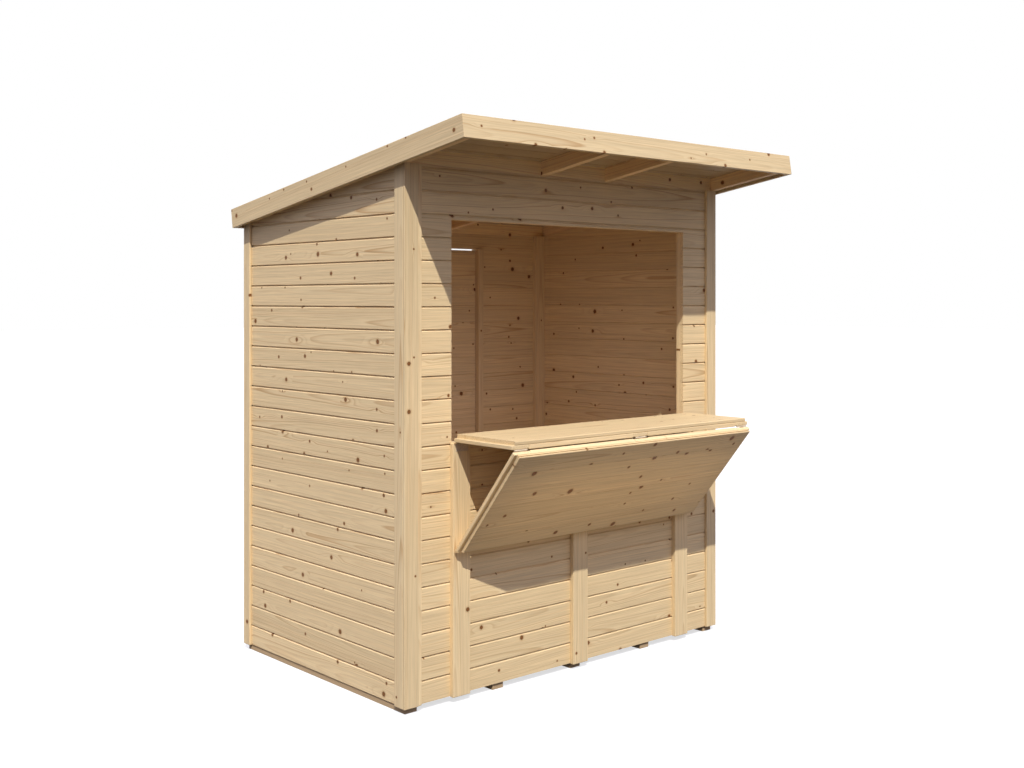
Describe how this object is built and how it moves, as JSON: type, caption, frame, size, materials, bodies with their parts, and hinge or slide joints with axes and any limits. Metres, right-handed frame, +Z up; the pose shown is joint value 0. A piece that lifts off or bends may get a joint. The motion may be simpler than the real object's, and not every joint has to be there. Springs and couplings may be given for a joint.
{
  "type": "wooden market stall",
  "caption": "Timber market stall with level boarded walls, a lean-to roof, a fold-down counter that closes the serving hatch, and a door at the back.",
  "frame": {"origin": "on the ground under the middle of the roof's outline", "axes": "+Z up, -Y out of the serving hatch, +X to the right seen from the front"},
  "size_m": [2.017, 1.744, 2.3378],
  "materials": {
    "spruce_boards": "planed, untreated, knotty",
    "spruce_trim": "planed, untreated",
    "spruce_roof": "planed, untreated",
    "spruce_floor": "planed, untreated",
    "bearer_timber": "rough sawn",
    "hinge_steel": "galvanized"
  },
  "bodies": {
    "stall": {"back_corner_trims": "spruce_trim", "back_fascia": "spruce_trim", "back_infill": "spruce_boards", "back_wall_left": "spruce_boards", "back_wall_over_door": "spruce_boards", "back_wall_right": "spruce_boards", "corner_battens": "spruce_trim", "corner_cover_strip": "spruce_trim", "counter_hinge_post_halves": "hinge_steel", "door_hinge_post_halves": "hinge_steel", "door_jambs": "spruce_trim", "door_posts": "spruce_trim", "door_threshold": "spruce_floor", "floor": "spruce_floor", "floor_bearers": "bearer_timber", "front_corner_trims": "spruce_trim", "front_fascia": "spruce_trim", "front_infill": "spruce_boards", "front_posts": "spruce_trim", "front_wall_below_hatch": "spruce_boards", "front_wall_left": "spruce_boards", "front_wall_over_hatch": "spruce_boards", "front_wall_right": "spruce_boards", "hatch_head": "spruce_trim", "hatch_jambs": "spruce_trim", "hatch_sill": "spruce_trim", "left_fascia": "spruce_trim", "left_wall": "spruce_boards", "rafters": "spruce_roof", "right_fascia": "spruce_trim", "right_wall": "spruce_boards", "roof_deck": "spruce_roof", "side_corner_trims": "spruce_trim"},
    "counter": {"counter_boards": "spruce_boards", "counter_battens": "spruce_trim", "counter_rails": "spruce_trim", "counter_hinge_leaf_halves": "hinge_steel", "flap_hinge_counter_halves": "hinge_steel"},
    "flap": {"flap_boards": "spruce_boards", "flap_battens": "spruce_trim", "flap_rails": "spruce_trim", "flap_hinge_leaf_halves": "hinge_steel"},
    "door": {"door_boards": "spruce_boards", "door_battens": "spruce_trim", "door_hinge_leaf_halves": "hinge_steel", "door_knob": "spruce_trim"}
  },
  "joints": [
    {"name": "counter_hinge", "type": "hinge", "parent": "stall", "child": "counter", "pos_m": [0.0065, -0.4602, 1.065], "axis": [-1, 0, 0], "range_deg": [0, 90]},
    {"name": "flap_hinge", "type": "hinge", "parent": "counter", "child": "flap", "pos_m": [0.0065, -0.8182, 1.065], "axis": [-1, 0, 0], "range_deg": [0, 129.34]},
    {"name": "door_hinge", "type": "hinge", "parent": "stall", "child": "door", "pos_m": [-0.439, 0.8418, 0.985], "axis": [0, 0, 1], "range_deg": [0, 100]}
  ]
}
